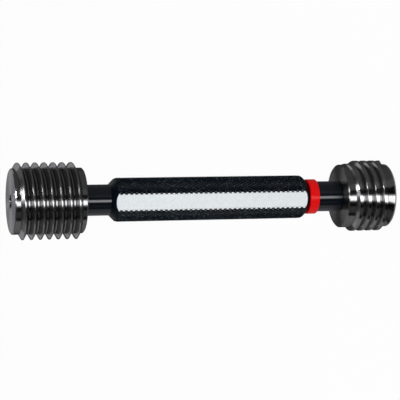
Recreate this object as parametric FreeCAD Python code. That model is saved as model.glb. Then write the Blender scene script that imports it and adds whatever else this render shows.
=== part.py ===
import FreeCAD, Part
import math
import os

# Double-ended thread plug gauge, in millimetres.
# The gauge's axis is Z.  It stands on the end face of its no-go member, at z = 0,
# with the go member at the top.  The marking flat on the handle faces -Y.

# ---- the gauged thread: ISO metric, coarse, right hand -----------------------------
NOMINAL_D = 30.0
PITCH = 3.5
FLANK_HALF_ANGLE = 30.0
PITCH_D_SHARE = 0.6495        # of the pitch, below the nominal diameter
MINOR_D_SHARE = 1.0825        # of the pitch, below the nominal diameter
ROOT_RELIEF = 0.30            # the roots are ground this much below the minor radius
NO_GO_PITCH_D_EXTRA = 0.28    # the no-go member's pitch diameter is at the top limit
NO_GO_TRUNCATION = 0.10       # its crests stand this share of the pitch above its pitch line
RIDGE_SINK = 0.20             # how far the thread ridge is rooted in its core

# ---- gauging members ---------------------------------------------------------------
GO_HEAD = 28.0                # length from end face to shoulder
GO_THREAD_INSET = 1.9         # end face to the centre of the first thread
GO_COLLAR = 2.05              # centre of the last thread to the shoulder
GO_THREAD_ANGLE = 80.0        # where the thread begins at the end face
GO_RUNOUT = 60.0              # angle over which the last thread is ground away
NO_GO_HEAD = 20.5
NO_GO_THREAD_INSET = 2.59
NO_GO_COLLAR = 3.69
NO_GO_THREAD_ANGLE = 10.0
NO_GO_RUNOUT = 96.0
RUNOUT_MARGIN = 0.02          # the run-out starts this much over the crest and ends under the root
HEAD_CHAMFER = 0.4
CENTRE_MOUTH_D = 5.6          # 60 degree centre hole, left from turning and grinding
CENTRE_DRILL_D = 2.4
CENTRE_DRILL_DEPTH = 6.0
CENTRE_HALF_ANGLE = 30.0
SHANK_D = 8.4                 # at the shoulder
SHANK_LENGTH = 24.0
SHANK_TAPER = 1 / 50          # on diameter
SHANK_CHAMFER = 0.8

# ---- handle ------------------------------------------------------------------------
GRIP_D = 17.5
GRIP_LENGTH = 81.6            # between the two necks, with its sloping shoulders
GRIP_SHOULDER_ANGLE = 45.0
GRIP_EDGE_R = 2.6             # the knurl's edge is rounded over
GRIP_EDGE_STEPS = 2           # straight steps in that rounding
NECK_D = 12.2
GO_NECK = 10.5
NO_GO_NECK = 14.2
NECK_CHAMFER = 0.3
FLAT_WIDTH = 8.0              # milled marking flat, along the whole grip
BORE_GAP = 0.01               # taper bore to shank, on radius
BORE_RUNOUT = 2.0             # bore past the end of the shank
BORE_TIP_HALF_ANGLE = 59.0
BORE_POINT_R = 0.4            # the drill's blunt point

# ---- red ring that marks the no-go side ---------------------------------------------
RING_D = 14.0
RING_LENGTH = 3.9
RING_FIT = 0.02               # on radius, over the neck
RING_SEAT_GAP = 0.05          # to the foot of the grip's shoulder

# ---- levels along the axis -----------------------------------------------------------
Z_NO_GO_SHOULDER = NO_GO_HEAD
Z_GRIP_BOTTOM = Z_NO_GO_SHOULDER + NO_GO_NECK
Z_GRIP_TOP = Z_GRIP_BOTTOM + GRIP_LENGTH
Z_GO_SHOULDER = Z_GRIP_TOP + GO_NECK
Z_GO_END = Z_GO_SHOULDER + GO_HEAD

# ---- thread sizes ----------------------------------------------------------------------
GO_PITCH_D = NOMINAL_D - PITCH_D_SHARE * PITCH
NO_GO_PITCH_D = GO_PITCH_D + NO_GO_PITCH_D_EXTRA
NO_GO_MAJOR_D = NO_GO_PITCH_D + 2 * NO_GO_TRUNCATION * PITCH
ROOT_D = NOMINAL_D - MINOR_D_SHARE * PITCH - 2 * ROOT_RELIEF

UP = FreeCAD.Vector(0, 0, 1)
ORIGIN = FreeCAD.Vector(0, 0, 0)
LONG_SLOPE = 1.1              # sloping edges of a section are weighted from this length on


def point(r, z):
    """A point of a half section, at radius r and height z."""
    return FreeCAD.Vector(r, 0, z)


def slope(start, end):
    """A straight edge whose ends differ in radius.  It is weighted by the radii, so that
    the cone or thread flank that it sweeps can be covered by long, straight facets."""
    edge = Part.BSplineCurve()
    edge.buildFromPolesMultsKnots([start, end], [2, 2], [0.0, 1.0], False, 1, [end.x, start.x])
    return edge.toShape()


def half_section(points):
    """The closed outline through these (r, z) corners."""
    corners = [point(r, z) for r, z in points]
    edges = []
    for start, end in zip(corners, corners[1:] + corners[:1]):
        level = math.isclose(start.z, end.z)
        upright = math.isclose(start.x, end.x)
        on_axis = min(start.x, end.x) == 0
        short = start.distanceToPoint(end) < LONG_SLOPE
        plain = level or upright or on_axis or short
        edges.append(Part.makeLine(start, end) if plain else slope(start, end))
    return Part.Wire(edges)


def turned(points):
    """The solid that a half section makes when it is turned about Z."""
    return Part.Face(half_section(points)).revolve(ORIGIN, UP, 360)


def rise(r_from, r_to, half_angle):
    """Height over which a cone of this half angle changes its radius."""
    return abs(r_to - r_from) / math.tan(math.radians(half_angle))


# ---- gauging members, each made with its end face down at z = 0 and its shank up ------
def thread_half_width(r, pitch_d):
    """Half the thread's axial width at radius r: half the gap and half the land
    are equal at the pitch line, and the flanks slope from there."""
    return PITCH / 4 - (r - pitch_d / 2) * math.tan(math.radians(FLANK_HALF_ANGLE))


def wound(points, length):
    """The solid that a section makes when it is wound up a right-hand helix from z = 0."""
    spine = Part.makeHelix(PITCH, length, points[0][0])
    return Part.Wire(spine.Edges).makePipeShell([half_section(points)], True, True)


def runout_cut(r_crest, length, angle):
    """What is ground off the last thread over this angle: everything outside an eccentric
    cylinder, which leaves the ridge at its crest and is under its root where it ends."""
    r_start = r_crest + RUNOUT_MARGIN
    r_end = ROOT_D / 2 - RUNOUT_MARGIN
    offset = (r_start - r_end) / (2 * math.sin(math.radians(angle / 2)))
    radius = math.sqrt(r_start * r_end + offset ** 2)
    r_in = ROOT_D / 2 - 2 * RIDGE_SINK
    r_out = r_crest + RIDGE_SINK
    rise_here = PITCH * angle / 360
    turn = wound(
        [(r_in, -PITCH / 2), (r_out, -PITCH / 2), (r_out, PITCH / 2), (r_in, PITCH / 2)],
        1.1 * rise_here)
    middle = math.radians(angle / 2 - 90)
    centre = FreeCAD.Vector(offset * math.cos(middle), offset * math.sin(middle), -PITCH)
    cut = turn.cut(Part.makeCylinder(radius, 3 * PITCH, centre, UP))
    cut.rotate(ORIGIN, UP, 360 * length / PITCH - angle)
    cut.translate(UP * (length - rise_here))
    return cut


def thread_ridge(major_d, pitch_d, length, start_angle, runout):
    """A helical ridge, its centre line running up from z = 0: blunt at its start, and with
    a run-out at its end."""
    r_base = ROOT_D / 2 - RIDGE_SINK
    r_crest = major_d / 2
    base = thread_half_width(r_base, pitch_d)
    crest = thread_half_width(r_crest, pitch_d)
    ridge = wound([(r_base, -base), (r_crest, -crest), (r_crest, crest), (r_base, base)], length)
    ridge = ridge.cut(runout_cut(r_crest, length, runout))
    ridge.rotate(ORIGIN, UP, start_angle)
    return ridge


def head_core(length):
    """The head's core at root diameter, with chamfered rims, and the taper shank on it."""
    r = ROOT_D / 2
    r_shank = SHANK_D / 2
    r_tip = r_shank - SHANK_TAPER * SHANK_LENGTH / 2
    top = length + SHANK_LENGTH
    return turned([
        (0, 0),
        (r - HEAD_CHAMFER, 0),
        (r, HEAD_CHAMFER),
        (r, length - HEAD_CHAMFER),
        (r - HEAD_CHAMFER, length),
        (r_shank, length),
        (r_tip, top - SHANK_CHAMFER),
        (r_tip - SHANK_CHAMFER, top),
        (0, top),
    ])


def centre_hole():
    """Countersink and drill of a 60 degree centre hole that opens at z = 0."""
    r_mouth = CENTRE_MOUTH_D / 2
    r_drill = CENTRE_DRILL_D / 2
    return turned([
        (0, 0),
        (r_mouth, 0),
        (r_drill, rise(r_mouth, r_drill, CENTRE_HALF_ANGLE)),
        (r_drill, CENTRE_DRILL_DEPTH),
        (0, CENTRE_DRILL_DEPTH),
    ])


def gauging_member(head, inset, collar, major_d, pitch_d, start_angle, runout):
    """One hardened plug: threaded head, plain collar and taper shank."""
    ridge = thread_ridge(major_d, pitch_d, head - inset - collar, start_angle, runout)
    ridge.translate(UP * inset)
    return head_core(head).fuse(ridge).cut(centre_hole())


def no_go_member():
    return gauging_member(
        NO_GO_HEAD, NO_GO_THREAD_INSET, NO_GO_COLLAR,
        NO_GO_MAJOR_D, NO_GO_PITCH_D, NO_GO_THREAD_ANGLE, NO_GO_RUNOUT)


def go_member():
    """The go plug is made the same way up and then turned over onto the handle's top."""
    plug = gauging_member(
        GO_HEAD, GO_THREAD_INSET, GO_COLLAR,
        NOMINAL_D, GO_PITCH_D, -GO_THREAD_ANGLE, GO_RUNOUT)
    plug.rotate(ORIGIN, FreeCAD.Vector(1, 0, 0), 180)
    plug.translate(UP * Z_GO_END)
    return plug


# ---- handle ------------------------------------------------------------------------------
def grip_shoulder(z_foot, way):
    """Corners from the neck's foot to the grip's full radius: a slope and its rounded edge.
    way is +1 where the grip lies above the foot and -1 where it lies below."""
    angle = math.radians(GRIP_SHOULDER_ANGLE)
    r_grip = GRIP_D / 2
    r_centre = r_grip - GRIP_EDGE_R
    z_centre = (r_grip - NECK_D / 2) / math.tan(angle) + GRIP_EDGE_R * math.tan(angle / 2)
    corners = [(NECK_D / 2, z_foot)]
    for step in range(GRIP_EDGE_STEPS + 1):
        turn = angle * (1 - step / GRIP_EDGE_STEPS)
        r = r_centre + GRIP_EDGE_R * math.cos(turn)
        rise_here = z_centre - GRIP_EDGE_R * math.sin(turn)
        corners.append((r, z_foot + way * rise_here))
    return corners


def handle_blank():
    """The turned bar: neck, grip between two sloping shoulders, neck."""
    r_neck = NECK_D / 2
    return turned(
        [
            (0, Z_NO_GO_SHOULDER),
            (r_neck - NECK_CHAMFER, Z_NO_GO_SHOULDER),
            (r_neck, Z_NO_GO_SHOULDER + NECK_CHAMFER),
        ]
        + grip_shoulder(Z_GRIP_BOTTOM, 1)
        + grip_shoulder(Z_GRIP_TOP, -1)[::-1]
        + [
            (r_neck, Z_GO_SHOULDER - NECK_CHAMFER),
            (r_neck - NECK_CHAMFER, Z_GO_SHOULDER),
            (0, Z_GO_SHOULDER),
        ]
    )


def taper_bore():
    """The blind taper bore for a shank, opening at z = 0 and running up."""
    r_mouth = SHANK_D / 2 + BORE_GAP
    depth = SHANK_LENGTH + BORE_RUNOUT
    r_end = r_mouth - SHANK_TAPER * depth / 2
    tip = depth + rise(BORE_POINT_R, r_end, BORE_TIP_HALF_ANGLE)
    return turned([(0, 0), (r_mouth, 0), (r_end, depth), (BORE_POINT_R, tip), (0, tip)])


def marking_flat():
    """What the cutter takes off the grip: everything beyond the flat's plane."""
    depth_left = math.sqrt((GRIP_D / 2) ** 2 - (FLAT_WIDTH / 2) ** 2)
    corner = FreeCAD.Vector(-GRIP_D, -GRIP_D - depth_left, Z_GRIP_BOTTOM)
    return Part.makeBox(2 * GRIP_D, GRIP_D, GRIP_LENGTH, corner)


def handle():
    low_bore = taper_bore()
    low_bore.translate(UP * Z_NO_GO_SHOULDER)
    high_bore = taper_bore()
    high_bore.rotate(ORIGIN, FreeCAD.Vector(1, 0, 0), 180)
    high_bore.translate(UP * Z_GO_SHOULDER)
    return handle_blank().cut(marking_flat()).cut(low_bore).cut(high_bore)


def no_go_ring():
    """Plastic ring pushed up the neck to the foot of the grip's shoulder."""
    r_in = NECK_D / 2 + RING_FIT
    r_out = RING_D / 2
    top = Z_GRIP_BOTTOM - RING_SEAT_GAP
    bottom = top - RING_LENGTH
    return turned([(r_in, bottom), (r_out, bottom), (r_out, top), (r_in, top)])


def main():
    pieces = {
        "no_go_member": no_go_member(),
        "no_go_ring": no_go_ring(),
        "handle": handle(),
        "go_member": go_member(),
    }
    os.makedirs("parts", exist_ok=True)
    for name, shape in pieces.items():
        shape.exportStep("parts/" + name + ".step")


main()
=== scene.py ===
import math

import bmesh
import bpy
from mathutils import Matrix, Vector


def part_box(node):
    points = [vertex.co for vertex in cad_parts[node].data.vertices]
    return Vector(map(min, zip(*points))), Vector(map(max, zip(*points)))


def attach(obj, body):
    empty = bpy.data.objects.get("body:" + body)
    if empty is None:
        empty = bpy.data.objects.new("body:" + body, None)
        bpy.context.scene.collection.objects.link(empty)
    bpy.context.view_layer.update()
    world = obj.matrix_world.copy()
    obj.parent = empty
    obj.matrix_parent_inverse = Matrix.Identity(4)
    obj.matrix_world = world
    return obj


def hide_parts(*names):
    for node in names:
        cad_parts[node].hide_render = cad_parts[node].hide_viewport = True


# Looks of a double-ended thread plug gauge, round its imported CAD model.  The gauge stands
# on the end face of its no-go member: +Z is its axis and -Y points out of the marking flat.
# Sizes are in millimetres, and meshes are scaled to Blender's metres as they are made.

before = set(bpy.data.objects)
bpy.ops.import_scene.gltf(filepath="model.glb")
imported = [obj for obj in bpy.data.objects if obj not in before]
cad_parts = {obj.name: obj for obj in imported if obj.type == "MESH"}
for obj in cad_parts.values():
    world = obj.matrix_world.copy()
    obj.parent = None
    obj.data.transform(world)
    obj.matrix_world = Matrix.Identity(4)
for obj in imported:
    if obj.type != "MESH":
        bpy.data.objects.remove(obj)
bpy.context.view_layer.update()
MM = 0.001


def levels(node):
    """Lowest and highest level of a CAD node, in millimetres."""
    low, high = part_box(node)
    return low[2] / MM, high[2] / MM


def reach(node):
    """How far a CAD node reaches from the axis along X, in millimetres."""
    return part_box(node)[1][0] / MM


# ---- sizes read from the frame --------------------------------------------------------------
Z_NO_GO_SHOULDER, Z_GO_SHOULDER = levels("handle")
Z_GO_END = levels("go_member")[1]
Z_RING_BOTTOM, Z_RING_TOP = levels("no_go_ring")
GRIP_R = reach("handle")
RING_R = reach("no_go_ring")
NOMINAL_D = 2 * reach("go_member")
GO_HEAD = Z_GO_END - Z_GO_SHOULDER
NO_GO_HEAD = Z_NO_GO_SHOULDER

# ---- the gauged thread, as in the part's source -------------------------------------------
PITCH = 3.5
FLANK_SLOPE = math.tan(math.radians(30))
GO_PITCH_R = (NOMINAL_D - 0.6495 * PITCH) / 2
NO_GO_PITCH_R = GO_PITCH_R + 0.14
GO_CREST_R = NOMINAL_D / 2
NO_GO_CREST_R = NO_GO_PITCH_R + 0.10 * PITCH
ROOT_R = (NOMINAL_D - 1.0825 * PITCH) / 2 - 0.30
CREST_BREAK = 0.08            # the crests' edges are stoned off by this much
GO_INSET = 1.9                # end face to the centre of the first thread
GO_COLLAR = 2.05              # centre of the last thread to the shoulder
GO_START = 80
GO_RUNOUT = 60                # angle over which the last thread is ground away
NO_GO_INSET = 2.59
NO_GO_COLLAR = 3.69
NO_GO_START = 10
NO_GO_RUNOUT = 96
RIDGE_LEFT = 0.01             # what is left of the ridge at the end of its run-out

# ---- other turned forms ---------------------------------------------------------------------
HEAD_CHAMFER = 0.4
CENTRE_MOUTH_R = 2.8          # the centre holes: a 60 degree cone, then a drilled pocket
CENTRE_DRILL_R = 1.2
CENTRE_CONE = (CENTRE_MOUTH_R - CENTRE_DRILL_R) / math.tan(math.radians(30))
CENTRE_DEPTH = 6.0
CENTRE_SHADE_R = 2.6           # inside this radius the end faces' centre holes are painted near-black: painted shade
SHANK_R = 4.2                 # the taper shank, at the shoulder and at its tip
SHANK_TIP_R = 3.96
SHANK_LENGTH = 24.0
SHANK_CHAMFER = 0.8
NECK_R = 6.1
NECK_CHAMFER = 0.3
BORE_R = 4.21                 # the taper bore, at the neck's face and at its end
BORE_END_R = 3.95
BORE_DEPTH = 26.0
BORE_POINT_R = 0.4            # the drill's blunt point
BORE_TIP = (BORE_END_R - BORE_POINT_R) / math.tan(math.radians(59))
GRIP_LENGTH = 81.6
GRIP_EDGE_R = 2.6
FLAT_WIDTH = 8.0
RING_FIT = 0.02               # the ring's bore clears the neck by this much
RING_SEAT_GAP = 0.05          # and its upper face lies this far from the grip
RING_EDGE_R = 0.25
RING_EDGE_STEPS = 5
Z_GRIP_BOTTOM = Z_RING_TOP + RING_SEAT_GAP
Z_GRIP_TOP = Z_GRIP_BOTTOM + GRIP_LENGTH
FLAT_Y = -math.sqrt(GRIP_R ** 2 - (FLAT_WIDTH / 2) ** 2)

# ---- knurl: two crossing sets of helical grooves, 1 mm pitch, 30 degrees to the axis ---------
KNURL_STARTS = 48
KNURL_CELL = 2.0              # height of one diamond
KNURL_DEPTH = 0.50
KNURL_GROOVE_SHARE = 0.50     # half a groove's width, as a share of the pitch
KNURL_STEPS = 4               # mesh steps along a diamond's side

TURN_STEPS = 192              # mesh steps round every turned piece


class Skin:
    """Collects the corners and faces of one closed mesh."""

    def __init__(self, start=0.0):
        self.corners = []
        self.faces = []
        self.start = math.radians(start)

    def corner(self, r, z, step):
        """A corner at radius r and height z, so many steps round from the start angle."""
        angle = self.start + 2 * math.pi * step / TURN_STEPS
        self.corners.append((r * math.cos(angle), r * math.sin(angle), z))
        return len(self.corners) - 1

    def ring(self, r, z):
        return [self.corner(r, z, step) for step in range(TURN_STEPS)]

    def band(self, below, above):
        """Faces between two rings, the second further along the section."""
        for a, b, c, d in zip(below, below[1:] + below[:1], above[1:] + above[:1], above):
            self.faces.append((a, b, c, d))

    def lathe(self, section):
        """Turns a section that is given in order from the axis, out and up, or back in."""
        rings = [self.ring(r, z) for r, z in section]
        for below, above in zip(rings, rings[1:]):
            self.band(below, above)
        return rings

    def close_start(self, ring, z):
        centre = self.corner(0, z, 0)
        for a, b in zip(ring, ring[1:] + ring[:1]):
            self.faces.append((centre, b, a))

    def close_end(self, ring, z):
        centre = self.corner(0, z, 0)
        for a, b in zip(ring, ring[1:] + ring[:1]):
            self.faces.append((centre, a, b))

    def mesh(self, name, place=Matrix.Identity(4), sharp=25):
        """The finished mesh in metres, smooth except at edges sharper than so many degrees."""
        mesh = bpy.data.meshes.new(name)
        mesh.from_pydata([place @ Vector(c) * MM for c in self.corners], [], self.faces)
        mesh.polygons.foreach_set("use_smooth", [True] * len(mesh.polygons))
        mesh.set_sharp_from_angle(angle=math.radians(sharp))
        mesh.update()
        return mesh


def show(mesh, node, slot, *materials):
    """Puts a mesh in the scene in place of a CAD node."""
    piece = bpy.data.objects.new(mesh.name, mesh)
    bpy.context.scene.collection.objects.link(piece)
    for material in materials:
        mesh.materials.append(material)
    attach(piece, "root")
    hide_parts(node)


# ---- gauging members ------------------------------------------------------------------------
def thread_section(crest_r, pitch_r):
    """The ridge's section as (radius, height from its centre line), from its low foot over
    the crest to its high foot."""
    def half_width(r):
        return PITCH / 4 - (r - pitch_r) * FLANK_SLOPE

    edge = min(CREST_BREAK, (crest_r - ROOT_R) / 2)
    break_r = crest_r - edge
    land = half_width(crest_r) - edge
    low_half = [
        (ROOT_R, -half_width(ROOT_R)),
        (break_r, -half_width(break_r)),
        (crest_r, -land),
    ]
    return low_half + [(r, -z) for r, z in reversed(low_half)]


def crest_radius(crest_r, left, runout):
    """The crest's radius so many degrees before the ridge's end.  Over the run-out an
    eccentric cut takes it down to the root."""
    if left >= runout:
        return crest_r
    offset = (crest_r - ROOT_R) / (2 * math.sin(math.radians(runout / 2)))
    radius_squared = crest_r * ROOT_R + offset ** 2
    turn = math.radians(90 + runout / 2 - left)
    chord = math.sqrt(radius_squared - (offset * math.sin(turn)) ** 2)
    cut = offset * math.cos(turn) + chord
    return max(cut, ROOT_R + RIDGE_LEFT)


def wind_thread(skin, sections, inset, below, above):
    """Winds the ridge round the core, one section for each step, and fills the core's
    surface between its turns, and from its ends to the rings below and above."""
    steps = len(sections) - 1
    turns = []
    for step, section in enumerate(sections):
        centre = inset + PITCH * step / TURN_STEPS
        turns.append([skin.corner(r, centre + rise, step) for r, rise in section])
    first, last = turns[0], turns[-1]
    for here, onward in zip(turns, turns[1:]):
        for low in range(len(here) - 1):
            skin.faces.append((here[low], onward[low], onward[low + 1], here[low + 1]))
    skin.faces.append(tuple(first))
    skin.faces.append(tuple(reversed(last)))

    top_turn = steps - TURN_STEPS
    for step in range(top_turn):
        low, low_on = turns[step][-1], turns[step + 1][-1]
        high, high_on = turns[step + TURN_STEPS][0], turns[step + TURN_STEPS + 1][0]
        skin.faces.append((low, low_on, high_on, high))

    for step in range(TURN_STEPS - 1):
        low, low_on = below[step], below[step + 1]
        skin.faces.append((low, low_on, turns[step + 1][0], turns[step][0]))
    skin.faces.append((
        below[-1], below[0], first[0], first[-1],
        turns[TURN_STEPS][0], turns[TURN_STEPS - 1][0]))

    def over(step):
        return above[step % TURN_STEPS]

    for step in range(top_turn + 1, steps):
        skin.faces.append((turns[step][-1], turns[step + 1][-1], over(step + 1), over(step)))
    skin.faces.append((
        turns[top_turn][-1], turns[top_turn + 1][-1],
        over(steps + 1), over(steps), last[-1], last[0]))


def gauging_member(name, head, inset, collar, crest_r, pitch_r, start, runout, place):
    """One hardened plug, made with its end face down at z = 0 and its shank up."""
    skin = Skin(start)
    foot = skin.lathe([
        (CENTRE_DRILL_R, CENTRE_DEPTH),
        (CENTRE_DRILL_R, CENTRE_CONE),
        (CENTRE_MOUTH_R, 0),
        (ROOT_R - HEAD_CHAMFER, 0),
        (ROOT_R, HEAD_CHAMFER),
    ])
    skin.close_start(foot[0], CENTRE_DEPTH)
    shoulder = skin.lathe([
        (ROOT_R, head - HEAD_CHAMFER),
        (ROOT_R - HEAD_CHAMFER, head),
        (SHANK_R, head),
        (SHANK_TIP_R, head + SHANK_LENGTH - SHANK_CHAMFER),
        (SHANK_TIP_R - SHANK_CHAMFER, head + SHANK_LENGTH),
    ])
    skin.close_end(shoulder[-1], head + SHANK_LENGTH)
    steps = round(TURN_STEPS * (head - inset - collar) / PITCH)
    sections = []
    for step in range(steps + 1):
        left = 360 * (steps - step) / TURN_STEPS
        sections.append(thread_section(crest_radius(crest_r, left, runout), pitch_r))
    wind_thread(skin, sections, inset, foot[-1], shoulder[0])
    return skin.mesh(name, place)


def build_members(steel):
    upright = Matrix.Identity(4)
    turned_over = Matrix.Translation((0, 0, Z_GO_END)) @ Matrix.Rotation(math.pi, 4, "X")
    no_go = gauging_member(
        "no_go_plug", NO_GO_HEAD, NO_GO_INSET, NO_GO_COLLAR,
        NO_GO_CREST_R, NO_GO_PITCH_R, NO_GO_START, NO_GO_RUNOUT, upright)
    go = gauging_member(
        "go_plug", GO_HEAD, GO_INSET, GO_COLLAR,
        GO_CREST_R, GO_PITCH_R, -GO_START, GO_RUNOUT, turned_over)
    show(no_go, "no_go_member", "ground_steel", steel)
    show(go, "go_member", "ground_steel", steel)


# ---- handle ---------------------------------------------------------------------------------
def shoulder_radius(rise):
    """The grip's radius so far from its foot: a 45 degree slope, then its rounded edge."""
    centre_r = GRIP_R - GRIP_EDGE_R
    centre_rise = (GRIP_R - NECK_R) + GRIP_EDGE_R * math.tan(math.radians(22.5))
    tangent_rise = centre_rise - GRIP_EDGE_R * math.sin(math.radians(45))
    if rise <= tangent_rise:
        return NECK_R + rise
    if rise >= centre_rise:
        return GRIP_R
    return centre_r + math.sqrt(GRIP_EDGE_R ** 2 - (centre_rise - rise) ** 2)


def groove(share):
    """How far the surface stands up beside one groove: 0 in the groove and 1 clear of it."""
    distance = abs(share - round(share))
    return min(1.0, distance / KNURL_GROOVE_SHARE)


def knurl_rows(skin):
    """Rows of the knurled grip.  A row's corners lie half a step round from the last row's,
    so that the mesh's edges run along the grooves."""
    count = 2 * round(KNURL_STEPS * GRIP_LENGTH / KNURL_CELL)
    row_height = GRIP_LENGTH / count
    rows = []
    for row in range(count + 1):
        shift = row % 2
        rise = row * row_height
        limit = shoulder_radius(min(rise, GRIP_LENGTH - rise))
        corners = []
        for step in range(TURN_STEPS):
            across = 2 * step + shift
            right_hand = (across + row) / (2 * KNURL_STEPS)
            left_hand = (across - row) / (2 * KNURL_STEPS)
            depth = KNURL_DEPTH * (1 - min(groove(right_hand), groove(left_hand)))
            r = min(limit, GRIP_R - depth)
            corners.append(skin.corner(r, Z_GRIP_BOTTOM + rise, step + shift / 2))
        rows.append(corners)
    return rows


def knurl_faces(skin, rows):
    """Diamond faces between rows, and triangles along the first and the last row."""
    first = len(skin.faces)
    for row in range(1, len(rows) - 1):
        below, here, above = rows[row - 1], rows[row], rows[row + 1]
        shift = row % 2
        for step in range(TURN_STEPS):
            onward = (step + 1) % TURN_STEPS
            between = (step + shift) % TURN_STEPS
            skin.faces.append((here[step], below[between], here[onward], above[between]))
    for step in range(TURN_STEPS):
        onward = (step + 1) % TURN_STEPS
        skin.faces.append((rows[0][step], rows[0][onward], rows[1][step]))
        skin.faces.append((rows[-1][onward], rows[-1][step], rows[-2][step]))
    return range(first, len(skin.faces))


def mill_flat(mesh, material_index):
    """Cuts the marking flat and gives its face the material of that index."""
    bm = bmesh.new()
    bm.from_mesh(mesh)
    everything = bm.verts[:] + bm.edges[:] + bm.faces[:]
    cut = bmesh.ops.bisect_plane(
        bm, geom=everything, dist=1e-8, clear_outer=True,
        plane_co=(0, FLAT_Y * MM, 0), plane_no=(0, -1, 0))
    rim = [item for item in cut["geom_cut"] if isinstance(item, bmesh.types.BMEdge)]
    filled = bmesh.ops.edgeloop_fill(bm, edges=rim, mat_nr=material_index, use_smooth=False)
    for edge in rim:
        edge.smooth = False
    bm.normal_update()
    for face in filled["faces"]:
        if face.normal.y > 0:
            face.normal_flip()
    bm.to_mesh(mesh)
    bm.free()


def build_handle(turned, bare, knurled):
    skin = Skin()
    low_end = skin.lathe([
        (BORE_POINT_R, Z_NO_GO_SHOULDER + BORE_DEPTH + BORE_TIP),
        (BORE_END_R, Z_NO_GO_SHOULDER + BORE_DEPTH),
        (BORE_R, Z_NO_GO_SHOULDER),
        (NECK_R - NECK_CHAMFER, Z_NO_GO_SHOULDER),
        (NECK_R, Z_NO_GO_SHOULDER + NECK_CHAMFER),
    ])
    skin.close_start(low_end[0], Z_NO_GO_SHOULDER + BORE_DEPTH + BORE_TIP)
    rows = knurl_rows(skin)
    knurl = knurl_faces(skin, rows)
    high_end = skin.lathe([
        (NECK_R, Z_GO_SHOULDER - NECK_CHAMFER),
        (NECK_R - NECK_CHAMFER, Z_GO_SHOULDER),
        (BORE_R, Z_GO_SHOULDER),
        (BORE_END_R, Z_GO_SHOULDER - BORE_DEPTH),
        (BORE_POINT_R, Z_GO_SHOULDER - BORE_DEPTH - BORE_TIP),
    ])
    skin.close_end(high_end[-1], Z_GO_SHOULDER - BORE_DEPTH - BORE_TIP)
    skin.band(low_end[-1], rows[0])
    skin.band(rows[-1], high_end[0])
    mesh = skin.mesh("knurled_handle", sharp=30)
    materials = [turned, bare, knurled]
    show(mesh, "handle", "black_handle", *materials)
    for index in knurl:
        mesh.polygons[index].material_index = materials.index(knurled)
    mill_flat(mesh, materials.index(bare))


# ---- red ring -------------------------------------------------------------------------------
def quarter(r_centre, z_centre, start):
    """Points of a quarter round of the ring's edge radius, from a start angle in degrees."""
    points = []
    for step in range(RING_EDGE_STEPS + 1):
        angle = math.radians(start + 90 * step / RING_EDGE_STEPS)
        r = r_centre + RING_EDGE_R * math.cos(angle)
        z = z_centre + RING_EDGE_R * math.sin(angle)
        points.append((r, z))
    return points


def build_ring(red):
    skin = Skin()
    bore_r = NECK_R + RING_FIT
    edge_r = RING_R - RING_EDGE_R
    section = [(bore_r, Z_RING_BOTTOM)]
    section += quarter(edge_r, Z_RING_BOTTOM + RING_EDGE_R, -90)
    section += quarter(edge_r, Z_RING_TOP - RING_EDGE_R, 0)
    section += [(bore_r, Z_RING_TOP)]
    rings = skin.lathe(section)
    skin.band(rings[-1], rings[0])
    show(skin.mesh("red_marking_ring", sharp=35), "no_go_ring", "red_ring", red)


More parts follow.
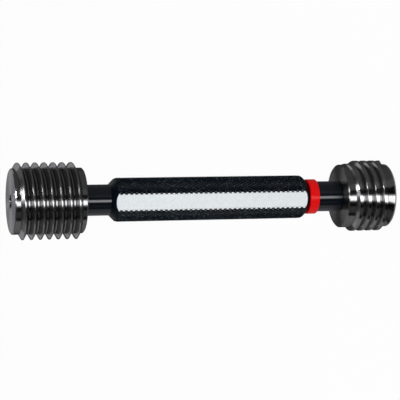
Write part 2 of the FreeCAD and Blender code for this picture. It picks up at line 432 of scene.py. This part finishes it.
# ---- materials ------------------------------------------------------------------------------
class Nodes:
    """Builds one material's node tree."""

    def __init__(self, name):
        self.material = bpy.data.materials.new(name)
        self.material.use_nodes = True
        self.tree = self.material.node_tree
        self.tree.nodes.clear()
        self.output = self.tree.nodes.new("ShaderNodeOutputMaterial")

    def add(self, kind, **values):
        """Adds a node.  A value whose name is one of the node's properties sets it.  Any
        other goes to the input of that name, with spaces for its underscores."""
        node = self.tree.nodes.new(kind)
        for key, value in values.items():
            if hasattr(node, key):
                setattr(node, key, value)
            else:
                self.put(node.inputs[key.replace("_", " ")], value)
        return node

    def put(self, socket, value):
        """Links an input to a socket, or else sets its value."""
        if isinstance(value, bpy.types.NodeSocket):
            self.tree.links.new(value, socket)
        else:
            socket.default_value = value

    def math(self, operation, *values, clamp=False):
        node = self.tree.nodes.new("ShaderNodeMath")
        node.operation = operation
        node.use_clamp = clamp
        for socket, value in zip(node.inputs, values):
            self.put(socket, value)
        return node.outputs[0]

    def axes(self):
        """The point's x, y, z and its distance from the gauge's axis, in metres."""
        place = self.add("ShaderNodeTexCoord").outputs["Object"]
        parts = self.add("ShaderNodeSeparateXYZ", Vector=place)
        x, y, z = parts.outputs
        x_squared = self.math("MULTIPLY", x, x)
        y_squared = self.math("MULTIPLY", y, y)
        radius = self.math("SQRT", self.math("ADD", x_squared, y_squared))
        return x, y, z, radius

    def vector(self, x, y, z):
        return self.add("ShaderNodeCombineXYZ", X=x, Y=y, Z=z).outputs[0]

    def turning(self, fineness):
        """Noise that is fine along a section and long round the axis, like lathe and
        grinding marks.  fineness is marks to the millimetre."""
        around = 2.0
        x, y, z, radius = self.axes()
        travel = self.math("MULTIPLY", self.math("ADD", z, radius), fineness / MM)
        turn_x = self.math("MULTIPLY", self.math("DIVIDE", x, radius), around)
        turn_y = self.math("MULTIPLY", self.math("DIVIDE", y, radius), around)
        place = self.vector(turn_x, turn_y, travel)
        noise = self.add("ShaderNodeTexNoise", Vector=place, Scale=1.0, Detail=3.0)
        return noise.outputs["Fac"]

    def patches(self, size, detail=3.0):
        """Soft noise with patches of about this size in millimetres."""
        place = self.add("ShaderNodeTexCoord").outputs["Object"]
        noise = self.add("ShaderNodeTexNoise", Vector=place, Scale=1 / (size * MM), Detail=detail)
        return noise.outputs["Fac"]

    def span(self, value, low, high, to_low=0.0, to_high=1.0):
        """Maps a value between two limits to a value between two others."""
        node = self.add("ShaderNodeMapRange")
        for socket, item in zip(node.inputs, (value, low, high, to_low, to_high)):
            self.put(socket, item)
        return node.outputs[0]

    def blend(self, share, first, second):
        """A colour between two colours, each a tuple or a socket."""
        node = self.tree.nodes.new("ShaderNodeMix")
        node.data_type = "RGBA"
        self.put(node.inputs[0], share)
        self.put(node.inputs[6], (*first, 1) if isinstance(first, tuple) else first)
        self.put(node.inputs[7], (*second, 1) if isinstance(second, tuple) else second)
        return node.outputs[2]

    def bump(self, height, depth):
        """A normal from a height that stands for so many millimetres."""
        node = self.add("ShaderNodeBump", Height=height, Distance=depth * MM, Strength=1.0)
        return node.outputs["Normal"]

    def principled(self, **values):
        shader = self.add("ShaderNodeBsdfPrincipled", **values)
        self.put(self.output.inputs["Surface"], shader.outputs[0])

    def round_the_axis(self):
        """A tangent that runs round the gauge's axis."""
        return self.add("ShaderNodeTangent", direction_type="RADIAL", axis="Z").outputs[0]


def grey(value):
    """A grey with a trace of blue."""
    return (value, value, value * 1.02)


def ground_steel():
    """Hardened steel, ground round its axis, with random stains, painted shade in the thread's
    roots and near-black painted shade in the centre holes.
    """
    nodes = Nodes("ground steel")
    radius = nodes.axes()[3]
    marks = nodes.turning(5.0)
    stain = nodes.patches(4.0)
    # painted shade: the steel is darkened towards a dark grey in the thread's roots
    painted_root_shade = nodes.span(radius, (ROOT_R + 0.7) * MM, (ROOT_R - 0.1) * MM)
    colour = nodes.blend(marks, grey(0.24), grey(0.36))
    colour = nodes.blend(nodes.span(stain, 0.40, 0.75, 0.0, 0.5), colour, (0.21, 0.20, 0.19))
    colour = nodes.blend(nodes.math("MULTIPLY", painted_root_shade, 0.5), colour, grey(0.12))
    # painted shade: the centre holes are painted near-black
    painted_hole_shade = nodes.span(radius, CENTRE_SHADE_R * 1.1 * MM, CENTRE_SHADE_R * 0.9 * MM)
    colour = nodes.blend(painted_hole_shade, colour, grey(0.03))
    nodes.principled(
        Base_Color=colour,
        Metallic=1.0,
        Roughness=nodes.span(marks, 0.3, 0.7, 0.19, 0.24),
        Anisotropic=0.9,
        Anisotropic_Rotation=0.25,
        Specular_Tint=(0.5, 0.5, 0.52, 1),
        Tangent=nodes.round_the_axis(),
        Normal=nodes.bump(marks, 0.0006),
    )
    return nodes.material


def turned_black():
    """Blackened steel of the necks, with fine turning marks."""
    nodes = Nodes("turned black oxide")
    marks = nodes.turning(4.0)
    patches = nodes.patches(2.0)
    colour = nodes.blend(marks, (0.001, 0.002, 0.006), (0.002, 0.005, 0.010))
    nodes.principled(
        Base_Color=colour,
        Roughness=nodes.span(patches, 0.3, 0.7, 0.22, 0.27),
        Specular_IOR_Level=0.6,
        Anisotropic=0.95,
        Anisotropic_Rotation=0.25,
        Tangent=nodes.round_the_axis(),
        Normal=nodes.bump(marks, 0.0006),
    )
    return nodes.material


def knurled_black():
    """Blackened steel of the grip, with a fine random grain: the knurl's tops are painted
    brighter in patches, partly as wear from handling and partly as painted glints."""
    nodes = Nodes("knurled black oxide")
    radius = nodes.axes()[3]
    top = nodes.span(radius, (GRIP_R - 0.40) * MM, (GRIP_R - 0.15) * MM)
    patches = nodes.patches(0.8)
    # painted glints, partly wear: brighter patches on the knurl's tops
    wear_and_glint = nodes.math("MULTIPLY", top, nodes.span(patches, 0.55, 0.62), clamp=True)
    grain = nodes.patches(0.15)
    colour = nodes.blend(grain, (0.0005, 0.0015, 0.004), (0.002, 0.005, 0.010))
    colour = nodes.blend(nodes.math("MULTIPLY", wear_and_glint, 0.8), colour, (0.10, 0.14, 0.16))
    nodes.principled(
        Base_Color=colour,
        Metallic=nodes.math("MULTIPLY", wear_and_glint, 0.2),
        Roughness=nodes.span(grain, 0.3, 0.7, 0.25, 0.40),
        Specular_IOR_Level=0.10,
        Normal=nodes.bump(grain, 0.004),
    )
    return nodes.material


def bare_flat():
    """The milled flat: fine cutter marks across it, and a slightly uneven sheen."""
    nodes = Nodes("bare milled steel")
    x, _, z, _ = nodes.axes()
    across = nodes.math("MULTIPLY", x, 0.3 / MM)
    along = nodes.math("MULTIPLY", z, 3.0 / MM)
    place = nodes.vector(across, 0.0, along)
    marks = nodes.add("ShaderNodeTexNoise", Vector=place, Scale=1.0, Detail=2.0).outputs["Fac"]
    patches = nodes.patches(0.8, 4.0)
    colour = nodes.blend(nodes.span(patches, 0.3, 0.7), (0.61, 0.65, 0.67), (0.70, 0.74, 0.76))
    colour = nodes.blend(nodes.span(marks, 0.3, 0.7, 0.0, 0.4), colour, (0.80, 0.82, 0.83))
    nodes.principled(
        Base_Color=colour,
        Metallic=0.4,
        Roughness=nodes.span(marks, 0.3, 0.7, 0.55, 0.65),
        Normal=nodes.bump(marks, 0.002),
    )
    return nodes.material


def red_plastic():
    """Glossy red plastic with faint turning marks and a slightly uneven colour."""
    nodes = Nodes("red plastic")
    marks = nodes.turning(2.0)
    colour = nodes.blend(nodes.patches(2.0), (0.72, 0.0, 0.001), (0.80, 0.001, 0.002))
    nodes.principled(
        Base_Color=colour,
        Roughness=nodes.span(marks, 0.3, 0.7, 0.26, 0.34),
        Specular_IOR_Level=0.16,
        Anisotropic=0.8,
        Anisotropic_Rotation=0.25,
        Tangent=nodes.round_the_axis(),
        Normal=nodes.bump(marks, 0.001),
    )
    return nodes.material


# ---- studio, in metres ---------------------------------------------------------------------
CAMERA_AZIMUTH = 8.5          # degrees from the flat's side, towards +X
CAMERA_ELEVATION = 15.8
CAMERA_DISTANCE = 0.6         # from the go end's centre, along the view
CAMERA_ROLL = 1.0             # past lying on its side
CAMERA_ASIDE = 0.07292
CAMERA_DROP = 0.00062
LENS = 140.4
AMBIENT = 0.55                # the world's light on things; it looks white all the same
FLOOR_HALF = 8.0
FLOOR_WHITE = 0.95            # share of the floor's own light for what looks at it
KEY_DISTANCE = 0.7            # the key lamp and the glow card stand in front of the flat
KEY_HEIGHT = 0.45
OVERHEAD_HEIGHT = 0.55
SPOT_PLACE = (0.10, -0.02)    # beside the overhead lamp, at its height
CARD_INNER = 0.0131           # the floor cards start just clear of the no-go foot
CARD_OUTER = 0.35
CARD_LIFT = 0.0005            # off the floor
CARD_TOP = 0.62
CARD_STEPS = 12
CEILING_RADIUS = 0.40
CEILING_HEIGHT = 0.60
CEILING_STEPS = 48

# Upright cards round the gauge: name, first and last azimuth, tone, lower and upper level.
SIDE_CARDS = [
    ("card_right_black", 10, 27, 0.003, 0.0, CARD_TOP),
    ("card_right_dim", 27, 45, 0.25, 0.0, CARD_TOP),
    ("card_right_dark", 45, 135, 0.16, 0.0, CARD_TOP),
    ("card_back_low", 135, 225, 0.12, 0.0, 0.19),
    ("card_back_middle", 135, 225, 0.95, 0.19, 0.36),
    ("card_back_high", 135, 225, 0.3, 0.36, CARD_TOP),
    ("card_glow", -7, 7, 5.0, 0.0, CARD_TOP),
    ("card_left_dim", -135, -63, 0.42, 0.0, CARD_TOP),
    ("card_left_thin", -63, -50, 0.01, 0.0, CARD_TOP),
    ("card_left_dark", -50, -27, 0.12, 0.0, CARD_TOP),
    ("card_left_black", -27, -10, 0.003, 0.0, CARD_TOP),
]
CEILING_TONE = 0.13


def towards(azimuth, elevation=0.0):
    """Unit vector from the gauge at an azimuth from -Y towards +X, in degrees."""
    a, e = math.radians(azimuth), math.radians(elevation)
    return Vector((math.sin(a) * math.cos(e), -math.cos(a) * math.cos(e), math.sin(e)))


def build_camera():
    """The camera lies on its side, with the gauge's top to the left of the picture."""
    forward = -towards(CAMERA_AZIMUTH, CAMERA_ELEVATION)
    level = Vector((0, 0, 1)).cross(towards(CAMERA_AZIMUTH)).normalized()
    right = forward.cross(level).normalized()
    if right.z > 0:
        right = -right
    up = right.cross(forward).normalized()
    roll = Matrix.Rotation(math.radians(CAMERA_ROLL), 3, forward)
    right, up = roll @ right, roll @ up
    target = Vector((0, 0, Z_GO_END * MM))
    place = target + right * CAMERA_ASIDE + up * CAMERA_DROP - forward * CAMERA_DISTANCE
    data = bpy.data.cameras.new("camera")
    data.lens = LENS
    data.sensor_width = 36.0
    data.clip_start = 0.01
    camera = bpy.data.objects.new("camera", data)
    axes = Matrix((right, up, -forward)).transposed().to_4x4()
    camera.matrix_world = Matrix.Translation(place) @ axes
    bpy.context.scene.collection.objects.link(camera)
    bpy.context.scene.camera = camera


def lamp(name, place, target, width, height, radiance):
    """A soft rectangular lamp that faces a target.  Its power follows from its radiance."""
    data = bpy.data.lights.new(name, "AREA")
    data.shape = "RECTANGLE"
    data.size = width
    data.size_y = height
    data.energy = math.pi * width * height * radiance
    light = bpy.data.objects.new(name, data)
    turn = (target - place).to_track_quat("-Z", "Y").to_matrix().to_4x4()
    light.matrix_world = Matrix.Translation(place) @ turn
    light.visible_camera = False
    bpy.context.scene.collection.objects.link(light)
    return light


def seen_share(tree):
    """1 for the camera, reflections and refractions, and 0 for the light that falls on things."""
    path = tree.nodes.new("ShaderNodeLightPath")
    share = path.outputs["Is Camera Ray"]
    for other in ("Is Glossy Ray", "Is Transmission Ray"):
        either = tree.nodes.new("ShaderNodeMath")
        either.operation = "MAXIMUM"
        tree.links.new(share, either.inputs[0])
        tree.links.new(path.outputs[other], either.inputs[1])
        share = either.outputs[0]
    return share


def build_world():
    world = bpy.data.worlds.new("studio")
    world.use_nodes = True
    tree = world.node_tree
    tree.nodes.clear()
    output = tree.nodes.new("ShaderNodeOutputWorld")
    background = tree.nodes.new("ShaderNodeBackground")
    strength = tree.nodes.new("ShaderNodeMapRange")
    strength.inputs["To Min"].default_value = AMBIENT
    strength.inputs["To Max"].default_value = 1.0
    tree.links.new(seen_share(tree), strength.inputs["Value"])
    tree.links.new(strength.outputs[0], background.inputs["Strength"])
    background.inputs["Color"].default_value = (1, 1, 1, 1)
    tree.links.new(background.outputs[0], output.inputs["Surface"])
    bpy.context.scene.world = world


def build_floor():
    signs = [(-1, -1), (1, -1), (1, 1), (-1, 1)]
    corners = [(x * FLOOR_HALF, y * FLOOR_HALF, 0) for x, y in signs]
    mesh = bpy.data.meshes.new("studio_floor")
    mesh.from_pydata(corners, [], [(0, 1, 2, 3)])
    floor = bpy.data.objects.new("studio_floor", mesh)
    bpy.context.scene.collection.objects.link(floor)
    nodes = Nodes("studio floor")
    paper = nodes.add("ShaderNodeBsdfDiffuse", Color=(0.92, 0.92, 0.92, 1))
    glow = nodes.add("ShaderNodeEmission", Color=(1, 1, 1, 1), Strength=1.0)
    mix = nodes.add("ShaderNodeMixShader")
    nodes.put(mix.inputs[0], nodes.math("MULTIPLY", seen_share(nodes.tree), FLOOR_WHITE))
    nodes.put(mix.inputs[1], paper.outputs[0])
    nodes.put(mix.inputs[2], glow.outputs[0])
    nodes.put(nodes.output.inputs["Surface"], mix.outputs[0])
    mesh.materials.append(nodes.material)


def card(name, corners, faces, tone):
    """A card that glows at one tone, its own light rather than a lit colour, and shows in the
    gauge's reflections and nowhere else.
    """
    mesh = bpy.data.meshes.new(name)
    mesh.from_pydata(corners, [], faces)
    sheet = bpy.data.objects.new(name, mesh)
    bpy.context.scene.collection.objects.link(sheet)
    nodes = Nodes(name)
    surface = nodes.add("ShaderNodeEmission", Color=(tone, tone, tone, 1), Strength=1.0)
    nodes.put(nodes.output.inputs["Surface"], surface.outputs[0])
    mesh.materials.append(nodes.material)
    sheet.visible_camera = False
    sheet.visible_diffuse = False
    sheet.visible_shadow = False


def side_card(name, start, end, tone, low, high):
    """An upright card round the gauge between two azimuths and two levels.  One that stands
    on the floor runs on over it, up to the gauge."""
    on_floor = low == 0
    corners = []
    faces = []
    for step in range(CARD_STEPS + 1):
        way = towards(start + (end - start) * step / CARD_STEPS)
        foot = Vector((0, 0, low + CARD_LIFT))
        corners.append(way * (CARD_INNER if on_floor else CARD_OUTER) + foot)
        corners.append(way * CARD_OUTER + foot)
        corners.append(way * CARD_OUTER + Vector((0, 0, high)))
    for step in range(CARD_STEPS):
        here, onward = 3 * step, 3 * (step + 1)
        if on_floor:
            faces.append((here, onward, onward + 1, here + 1))
        faces.append((here + 1, onward + 1, onward + 2, here + 2))
    card(name, corners, faces, tone)


def ceiling_card(tone):
    """A round card over the gauge."""
    level = Vector((0, 0, CEILING_HEIGHT))
    ways = [towards(360 * step / CEILING_STEPS) for step in range(CEILING_STEPS)]
    rim = [way * CEILING_RADIUS + level for way in ways]
    card("ceiling_card", rim, [tuple(range(CEILING_STEPS))], tone)


def build_studio():
    bpy.context.scene.view_settings.view_transform = "Standard"
    build_world()
    build_floor()
    build_camera()
    middle = Vector((0, 0, Z_GO_END * MM / 2))
    key_middle = Vector((0, 0, KEY_HEIGHT))
    key = lamp("key_strip", towards(0) * KEY_DISTANCE + key_middle, key_middle, 0.16, 0.9, 5.5)
    key.visible_glossy = False
    lamp("overhead", Vector((0, 0, OVERHEAD_HEIGHT)), middle, 0.035, 0.6, 8.0)
    spot = lamp("spot", Vector((*SPOT_PLACE, OVERHEAD_HEIGHT)), middle, 0.07, 0.07, 80.0)
    spot.visible_diffuse = False
    for row in SIDE_CARDS:
        side_card(*row)
    ceiling_card(CEILING_TONE)


steel = ground_steel()
build_members(steel)
build_handle(turned_black(), bare_flat(), knurled_black())
build_ring(red_plastic())
build_studio()
